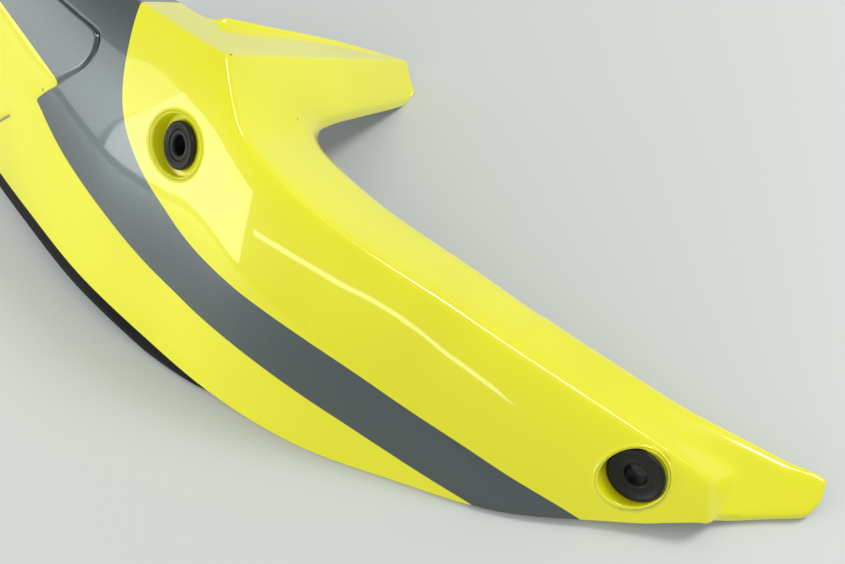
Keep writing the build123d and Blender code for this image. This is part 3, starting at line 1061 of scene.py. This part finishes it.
def group(name, inputs, outputs):
    """New node group with number sockets, its input and output nodes."""
    tree = bpy.data.node_groups.new(name, "ShaderNodeTree")
    for label, value in inputs:
        socket = tree.interface.new_socket(label, in_out="INPUT", socket_type="NodeSocketFloat")
        socket.default_value = value
    for label in outputs:
        tree.interface.new_socket(label, in_out="OUTPUT", socket_type="NodeSocketFloat")
    return tree, tree.nodes.new("NodeGroupInput"), tree.nodes.new("NodeGroupOutput")


def use_group(tree, made, **inputs):
    return node(tree, "ShaderNodeGroup", {"node_tree": made}, **inputs)


def surface_grain():
    """Fine uneven surface: a height made of two noises, one coarse and one fine."""
    tree, ins, outs = group(
        "surface grain", [("Coarse Scale", 300.0), ("Fine Scale", 2000.0), ("Fine Share", 0.3)],
        ["Height"])
    place = object_place(tree)
    coarse = noise(tree, place, ins.outputs[0], 2.0)
    fine = noise(tree, place, ins.outputs[1], 1.0)
    mixed = math_node(tree, "MULTIPLY", fine, ins.outputs[2])
    tree.links.new(math_node(tree, "ADD", coarse, mixed), outs.inputs[0])
    return tree


def handling_marks():
    """Dust specks and faint rub marks, as two masks."""
    tree, ins, outs = group(
        "handling marks", [("Speck Scale", 120.0), ("Speck Amount", 0.1), ("Rub Scale", 30.0)],
        ["Specks", "Rubs"])
    place = object_place(tree)
    chance, distance = cells(tree, place, ins.outputs[0])
    picked = math_node(tree, "LESS_THAN", chance, ins.outputs[1])
    dot = ramp(tree, distance, *SPECK_EDGE)
    tree.links.new(math_node(tree, "MULTIPLY", picked, dot), outs.inputs[0])
    stretched = node(tree, "ShaderNodeMapping", Vector=place, Rotation=RUB_TURN,
                     Scale=RUB_STRETCH).outputs[0]
    rubs = noise(tree, stretched, ins.outputs[2], 6.0, Roughness=0.7)
    tree.links.new(ramp(tree, rubs, *RUB_RANGE), outs.inputs[1])
    return tree


def mark_masks(tree, marks, finish):
    """Masks of the specks and of the rub marks of a finish."""
    scale, amount, rub_scale = finish["marks"]
    made = use_group(tree, marks, Speck_Scale=scale, Speck_Amount=amount, Rub_Scale=rub_scale)
    return made.outputs["Specks"], made.outputs["Rubs"]


def finish_surface(tree, shader, rubs, grain, finish):
    """Roughness that rub marks add to, and a bump from the surface grain."""
    base, added = finish["rough"]
    rough = node(tree, "ShaderNodeMath", {"operation": "MULTIPLY_ADD"}, _0=rubs, _1=added, _2=base)
    tree.links.new(rough.outputs[0], shader.inputs["Roughness"])
    coarse, fine, share = finish["grain"]
    made = use_group(tree, grain, Coarse_Scale=coarse, Fine_Scale=fine, Fine_Share=share)
    strength, distance = finish["bump"]
    bump = node(tree, "ShaderNodeBump", Strength=strength, Distance=distance,
                Height=made.outputs[0])
    tree.links.new(bump.outputs[0], shader.inputs["Normal"])


def small_spot(tree, place, point, radius):
    """Mask of a small round spot at a drawing point."""
    centre = tuple(place_points([point])[0])
    gap = node(tree, "ShaderNodeVectorMath", {"operation": "DISTANCE"}, _0=place, _1=centre)
    return ramp(tree, gap.outputs["Value"], radius * MM, radius * MM * SPOT_CORE)


def paint_material(settings, grain, marks):
    """Gloss lemon paint with the metallic grey band, and shade painted into the slot and the seam."""
    mat, tree, shader = material("panel_paint")
    mask = ramp(tree, attribute(tree, "band"), -BAND_EDGE, BAND_EDGE)
    place = object_place(tree)
    clouds = ramp(tree, noise(tree, place, CLOUD_SCALE, 2.0), *CLOUD_RANGE)
    deep = tuple(c * s for c, s in zip(settings.yellow, DEEP_YELLOW))
    yellow = mix_colour(tree, clouds, tuple(settings.yellow), deep)
    chance, _ = cells(tree, place, FLAKE_SCALE)
    grey = mix_colour(tree, chance, tuple(c * DARK_FLAKE for c in settings.band),
                      tuple(min(1.0, c * LIGHT_FLAKE) for c in settings.band))
    painted = mix_colour(tree, mask, yellow, grey)
    specks, rubs = mark_masks(tree, marks, PAINT_FINISH)
    painted = mix_colour(tree, math_node(tree, "MULTIPLY", specks, PAINT_SPECK_SHARE), painted,
                         PAINT_SPECKS)
    spots = math_node(tree, "MAXIMUM", *[small_spot(tree, place, *spot) for spot in SPOTS])
    painted = mix_colour(tree, spots, painted, SPOT_BLACK)
    # Shade painted into the slot and the seam round the pad
    painted = mix_colour(tree, attribute(tree, "slot"), painted, SLOT_PAINTED_SHADE)
    tree.links.new(painted, shader.inputs["Base Color"])
    tree.links.new(math_node(tree, "MULTIPLY", mask, BAND_METALLIC), shader.inputs["Metallic"])
    for name, value in PAINT_SETTINGS.items():
        shader.inputs[name].default_value = value
    finish_surface(tree, shader, rubs, grain, PAINT_FINISH)
    return mat


def black_material(name, black, grain, marks):
    """Black plastic or rubber with rub marks, a grain and, where its finish has them, specks."""
    finish = BLACK_FINISHES[name]
    mat, tree, shader = material(name)
    specks, rubs = mark_masks(tree, marks, finish)
    rub_share, rub_colour = finish["rubs"]
    worn = math_node(tree, "MULTIPLY", rubs, rub_share)
    colour = mix_colour(tree, worn, tuple(black), rub_colour)
    if finish["specks"]:
        colour = mix_colour(tree, specks, colour, finish["specks"])
    tree.links.new(colour, shader.inputs["Base Color"])
    shader.inputs["Specular IOR Level"].default_value = finish["specular"]
    finish_surface(tree, shader, rubs, grain, finish)
    return mat


def shared_group(name, make):
    """Node group by name, made the first time it is asked for."""
    return bpy.data.node_groups.get(name) or make()


def shared_groups():
    return (shared_group("surface grain", surface_grain),
            shared_group("handling marks", handling_marks))


# Operators

class FAIRING_OT_panel(bpy.types.Operator):
    """Build the painted panel"""

    bl_idname = "fairing.panel"
    bl_label = "Panel"

    def execute(self, context):
        settings = context.scene.fairing
        parts = panel_mesh(settings.wall / MM, settings.spacing / MM)
        paint = paint_material(settings, *shared_groups())
        plastic = black_material("bare_plastic", settings.plastic, *shared_groups())
        panel = new_object("painted_panel", parts, [paint, plastic])
        x, y = np.concatenate(parts.points)[:, :2].T
        give_values(panel, "band", signed(BAND_AREA, x, y))
        # Where shade is painted: the slot, and in part the seam round the pad
        seam = SEAM_PAINTED_SHADE * seam_share(x, y)
        give_values(panel, "slot", np.maximum(slot_share(x, y, SLOT_SHADE_WIDTH), seam))
        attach(panel, "root")
        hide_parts("shell")
        return {"FINISHED"}


class FAIRING_OT_lip(bpy.types.Operator):
    """Build the black lip along the rear lower edge"""

    bl_idname = "fairing.lip"
    bl_label = "Lower lip"

    def execute(self, context):
        settings = context.scene.fairing
        parts = lip_mesh(settings.lip_height / MM)
        # Lip material: black plastic with painted shade darkening it
        black = black_material("lip_plastic_and_shade", LIP_BLACK_AND_SHADE, *shared_groups())
        lip = new_object("lower_lip", parts, [black])
        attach(lip, "root")
        return {"FINISHED"}


class FAIRING_OT_grommets(bpy.types.Operator):
    """Build the two rubber grommets"""

    bl_idname = "fairing.grommets"
    bl_label = "Grommets"

    def execute(self, context):
        settings = context.scene.fairing
        rubber = black_material("grommet_rubber", settings.rubber, *shared_groups())
        for name, seat in SEATS.items():
            parts = grommet_mesh(seat, settings.wall / MM)
            piece = new_object(name + "_rubber", parts, [rubber])
            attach(piece, "root")
            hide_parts(name)
        return {"FINISHED"}


def soft_light(name, place, target, size, power, roll):
    """Rectangular lamp that faces a target, rolled by an angle in degrees."""
    lamp = bpy.data.lights.new(name, "AREA")
    lamp.shape = "RECTANGLE"
    lamp.size, lamp.size_y = size
    lamp.energy = power
    obj = bpy.data.objects.new(name, lamp)
    obj.location = place
    facing = (Vector(target) - Vector(place)).to_track_quat("-Z", "Y")
    obj.rotation_euler = (facing @ Quaternion((0.0, 0.0, 1.0), radians(roll))).to_euler()
    obj.visible_camera = False
    bpy.context.scene.collection.objects.link(obj)


class FAIRING_OT_stage(bpy.types.Operator):
    """Set up the floor, the lamps, the world and the camera"""

    bl_idname = "fairing.stage"
    bl_label = "Stage"

    def execute(self, context):
        settings = context.scene.fairing
        scene = context.scene
        scene.view_settings.view_transform = "Standard"
        mesh = bpy.data.meshes.new("floor")
        corners = [(x * FLOOR_HALF, y * FLOOR_HALF, 0) for x, y in
                   ((-1, -1), (1, -1), (1, 1), (-1, 1))]
        mesh.from_pydata(corners, [], [(0, 1, 2, 3)])
        mat, _, shader = material("pale_floor")
        shader.inputs["Base Color"].default_value = (*settings.floor, 1.0)
        shader.inputs["Roughness"].default_value = FLOOR_ROUGHNESS
        mesh.materials.append(mat)
        floor = bpy.data.objects.new("floor", mesh)
        scene.collection.objects.link(floor)
        for name, lamp in LAMPS.items():
            soft_light(name, *lamp)
        world = bpy.data.worlds.new("studio")
        world.use_nodes = True
        background = world.node_tree.nodes["Background"]
        background.inputs["Color"].default_value = WORLD_COLOUR
        background.inputs["Strength"].default_value = WORLD_STRENGTH
        scene.world = world
        camera = bpy.data.cameras.new("camera")
        camera.sensor_width = CAMERA_SENSOR
        camera.lens = CAMERA_LENS
        obj = bpy.data.objects.new("camera", camera)
        obj.location = CAMERA_PLACE
        aim = Vector(CAMERA_TARGET) - obj.location
        obj.rotation_euler = aim.to_track_quat("-Z", "Y").to_euler()
        scene.collection.objects.link(obj)
        scene.camera = obj
        return {"FINISHED"}


class FAIRING_PT_sidebar(bpy.types.Panel):
    """Fairing tools"""

    bl_label = "Tail fairing"
    bl_space_type = "VIEW_3D"
    bl_region_type = "UI"
    bl_category = "Fairing"

    def draw(self, context):
        settings = context.scene.fairing
        for name in FairingSettings.__annotations__:
            self.layout.prop(settings, name)
        for operator in OPERATORS:
            self.layout.operator(operator.bl_idname)


OPERATORS = (FAIRING_OT_stage, FAIRING_OT_panel, FAIRING_OT_lip, FAIRING_OT_grommets)
CLASSES = (FairingSettings, *OPERATORS, FAIRING_PT_sidebar)


def register():
    for cls in CLASSES:
        bpy.utils.register_class(cls)
    bpy.types.Scene.fairing = PointerProperty(type=FairingSettings)


def unregister():
    del bpy.types.Scene.fairing
    for cls in reversed(CLASSES):
        bpy.utils.unregister_class(cls)


def main():
    register()
    bpy.ops.fairing.stage()
    bpy.ops.fairing.panel()
    bpy.ops.fairing.lip()
    bpy.ops.fairing.grommets()
    bpy.context.view_layer.update()
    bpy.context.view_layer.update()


if __name__ == "__main__":
    main()
